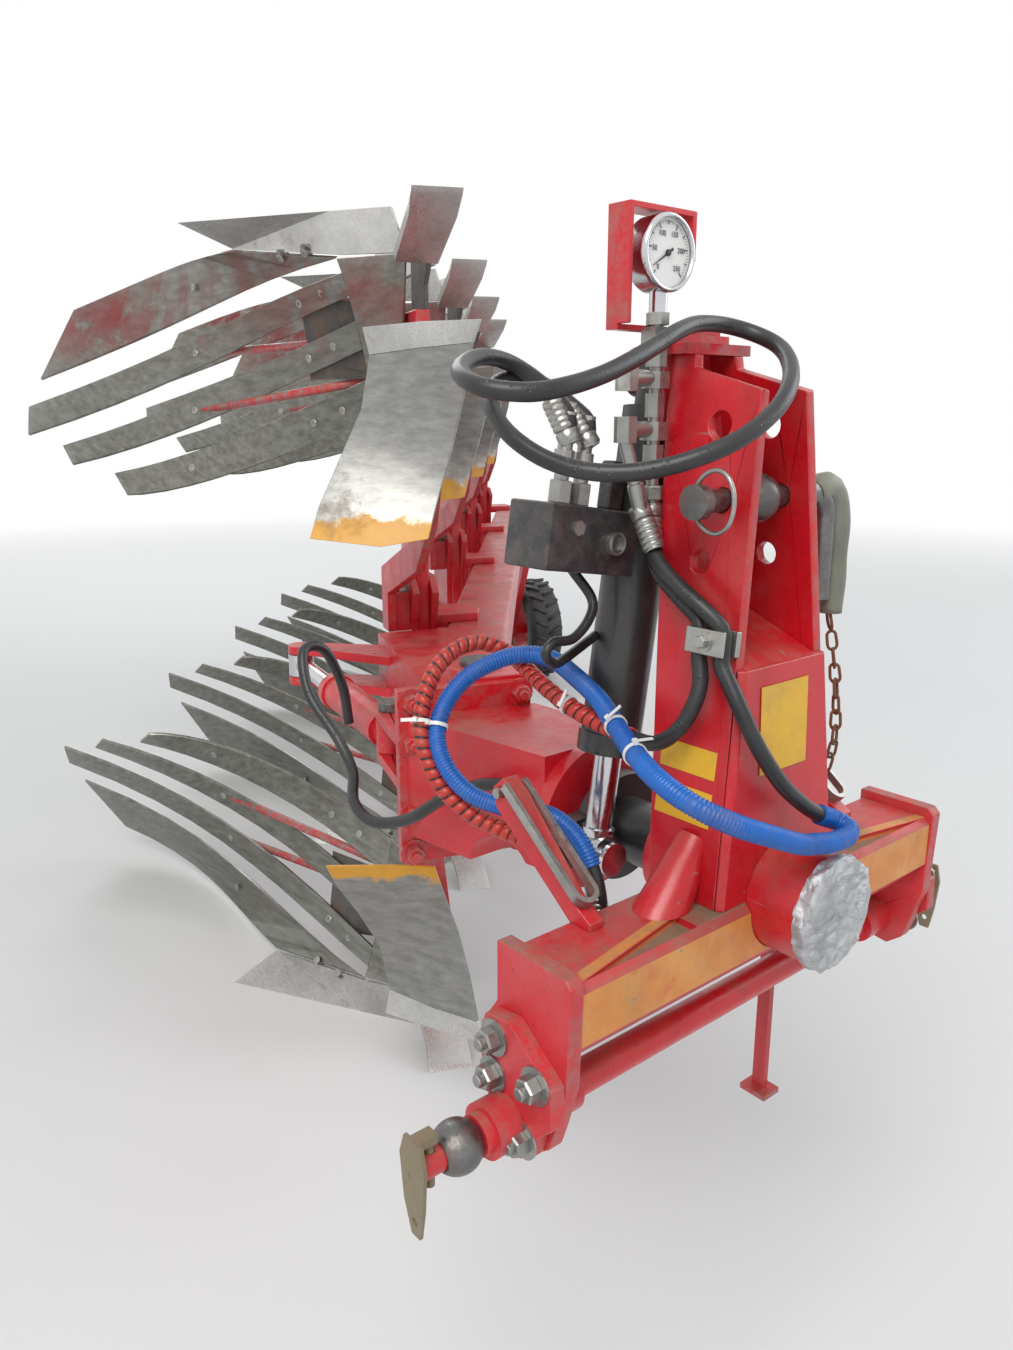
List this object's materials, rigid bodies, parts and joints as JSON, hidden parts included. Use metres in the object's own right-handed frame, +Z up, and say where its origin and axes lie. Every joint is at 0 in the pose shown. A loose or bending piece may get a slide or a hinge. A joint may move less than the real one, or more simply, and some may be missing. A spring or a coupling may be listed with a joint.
{
  "type": "moldboard plough",
  "caption": "Mounted reversible mouldboard plough with slatted boards, skimmers, turnover cylinder, swinging frame, parking stand and depth wheel.",
  "frame": {"origin": "centre of the bounding box's footprint, on the ground", "axes": "+Z up, -Y towards the tractor, +X to the unploughed side of the lower bodies"},
  "size_m": [3.5615, 4.9661, 1.93],
  "materials": {
    "crossbeam": "gloss paint, worn at the edges",
    "end_plates": "gloss paint, worn at the edges",
    "pin_flanges": "gloss paint, worn at the edges",
    "cross_bar": "gloss paint, worn at the edges",
    "link_pins": "gloss paint, worn at the edges",
    "link_balls": "bright steel",
    "linch_flags": "bare steel, worn and darkened by soil",
    "mast_box": "gloss paint, worn at the edges",
    "mast_plates": "gloss paint, worn at the edges",
    "mast_feet": "gloss paint, worn at the edges",
    "mast_lid": "gloss paint, worn at the edges",
    "top_pin": "bright steel",
    "housing": "gloss paint, worn at the edges",
    "shaft_cap": "crumpled silver tape over a metal cap",
    "pivot_plate": "gloss paint, worn at the edges",
    "gauge_bracket": "gloss paint, worn at the edges",
    "gauge": "bright steel",
    "gauge_fittings": "bare steel, worn and darkened by soil",
    "hose_clamp": "bare steel, worn and darkened by soil",
    "latch_arms": "gloss paint, worn at the edges",
    "latch_bails": "bare steel, worn and darkened by soil",
    "stand_socket": "gloss paint, worn at the edges",
    "stand_leg": "gloss paint, worn at the edges",
    "turn_barrel": "black paint",
    "valve_block": "black paint",
    "turn_rod": "bright steel",
    "turn_shaft": "gloss paint, worn at the edges",
    "console": "gloss paint, worn at the edges",
    "hinge_plate": "gloss paint, worn at the edges",
    "swing_pins": "bare steel, worn and darkened by soil",
    "swing_barrel": "gloss paint, worn at the edges",
    "swing_rod": "bright steel",
    "frame_arm": "gloss paint, worn at the edges",
    "main_beam": "gloss paint, worn at the edges",
    "leg_brackets": "gloss paint, worn at the edges",
    "legs": "gloss paint, worn at the edges",
    "frogs": "bare steel, worn and darkened by soil",
    "slats_upper": "bare steel, worn and darkened by soil",
    "slats_lower": "bare steel, worn and darkened by soil",
    "shins": "bare steel, worn and darkened by soil",
    "shares": "bare steel, worn and darkened by soil",
    "points": "bare steel, worn and darkened by soil",
    "landsides": "bare steel, worn and darkened by soil",
    "skimmer_stems": "gloss paint, worn at the edges",
    "skimmer_boards": "bare steel, worn and darkened by soil",
    "skimmer_shares": "bare steel, worn and darkened by soil",
    "wheel_bracket": "gloss paint, worn at the edges",
    "wheel_arm": "gloss paint, worn at the edges",
    "wheel": "rubber"
  },
  "bodies": {
    "headstock": {"crossbeam": "crossbeam", "end_plates": "end_plates", "pin_flanges": "pin_flanges", "cross_bar": "cross_bar", "link_pins": "link_pins", "link_balls": "link_balls", "linch_flags": "linch_flags", "mast_box": "mast_box", "mast_plates": "mast_plates", "mast_feet": "mast_feet", "mast_lid": "mast_lid", "top_pin": "top_pin", "housing": "housing", "shaft_cap": "shaft_cap", "pivot_plate": "pivot_plate", "gauge_bracket": "gauge_bracket", "gauge": "gauge", "gauge_fittings": "gauge_fittings", "hose_clamp": "hose_clamp", "latch_arms": "latch_arms", "latch_bails": "latch_bails", "stand_socket": "stand_socket"},
    "turn_barrel": {"turn_barrel": "turn_barrel", "valve_block": "valve_block"},
    "turn_rod": {"turn_rod": "turn_rod"},
    "turnover": {"turn_shaft": "turn_shaft", "console": "console", "hinge_plate": "hinge_plate", "swing_pins": "swing_pins"},
    "swing_barrel": {"swing_barrel": "swing_barrel"},
    "swing_rod": {"swing_rod": "swing_rod"},
    "stand": {"stand_leg": "stand_leg"},
    "wheel_arm": {"wheel_arm": "wheel_arm"},
    "wheel": {"wheel": "wheel"},
    "frame": {"frame_arm": "frame_arm", "main_beam": "main_beam", "leg_brackets": "leg_brackets", "legs": "legs", "frogs": "frogs", "slats_upper": "slats_upper", "slats_lower": "slats_lower", "shins": "shins", "shares": "shares", "points": "points", "landsides": "landsides", "skimmer_stems": "skimmer_stems", "skimmer_boards": "skimmer_boards", "skimmer_shares": "skimmer_shares", "wheel_bracket": "wheel_bracket"}
  },
  "joints": [
    {"name": "turnover", "type": "hinge", "parent": "headstock", "child": "turnover", "pos_m": [-1.291, -2.339, 0.965], "axis": [0, 1, 0], "range_deg": [0, 180]},
    {"name": "turn_barrel_swing", "type": "hinge", "parent": "headstock", "child": "turn_barrel", "pos_m": [-1.291, -2.181, 1.561], "axis": [0, 1, 0], "range_deg": [-17.27, 0.1]},
    {"name": "turn_rod_slide", "type": "slide", "parent": "turn_barrel", "child": "turn_rod", "axis": [0.1493, 0, 0.9888], "range_m": [0, 0.0968]},
    {"name": "frame_swing", "type": "hinge", "parent": "turnover", "child": "frame", "pos_m": [-1.236, -1.763, 0.965], "axis": [0, 0, 1], "range_deg": [-6, 16]},
    {"name": "swing_barrel_turn", "type": "hinge", "parent": "turnover", "child": "swing_barrel", "pos_m": [-1.30977, -1.60313, 0.965], "axis": [0, 0, 1], "range_deg": [-7.67, 20.28]},
    {"name": "swing_rod_slide", "type": "slide", "parent": "swing_barrel", "child": "swing_rod", "axis": [0.2288, 0.9735, 0], "range_m": [-0.0253, 0.0095]},
    {"name": "stand_slide", "type": "slide", "parent": "headstock", "child": "stand", "axis": [0, 0, 1], "range_m": [-0.54, 0]},
    {"name": "wheel_arm_swing", "type": "hinge", "parent": "frame", "child": "wheel_arm", "pos_m": [1.23789, 1.10466, 0.965], "axis": [0.9397, -0.342, 0], "range_deg": [0, 120]},
    {"name": "wheel_spin", "type": "hinge", "parent": "wheel_arm", "child": "wheel", "pos_m": [1.35759, 1.43356, 0.29], "axis": [0.9397, -0.342, 0], "continuous": true}
  ],
  "couplings": [
    {"joint": "turn_barrel_swing", "follows": "turnover", "ratio": -0.02111},
    {"joint": "turn_rod_slide", "follows": "turnover", "m_per_rad": 0.0308},
    {"joint": "swing_barrel_turn", "follows": "frame_swing", "ratio": 1.2615},
    {"joint": "swing_rod_slide", "follows": "frame_swing", "m_per_rad": -0.08986}
  ]
}
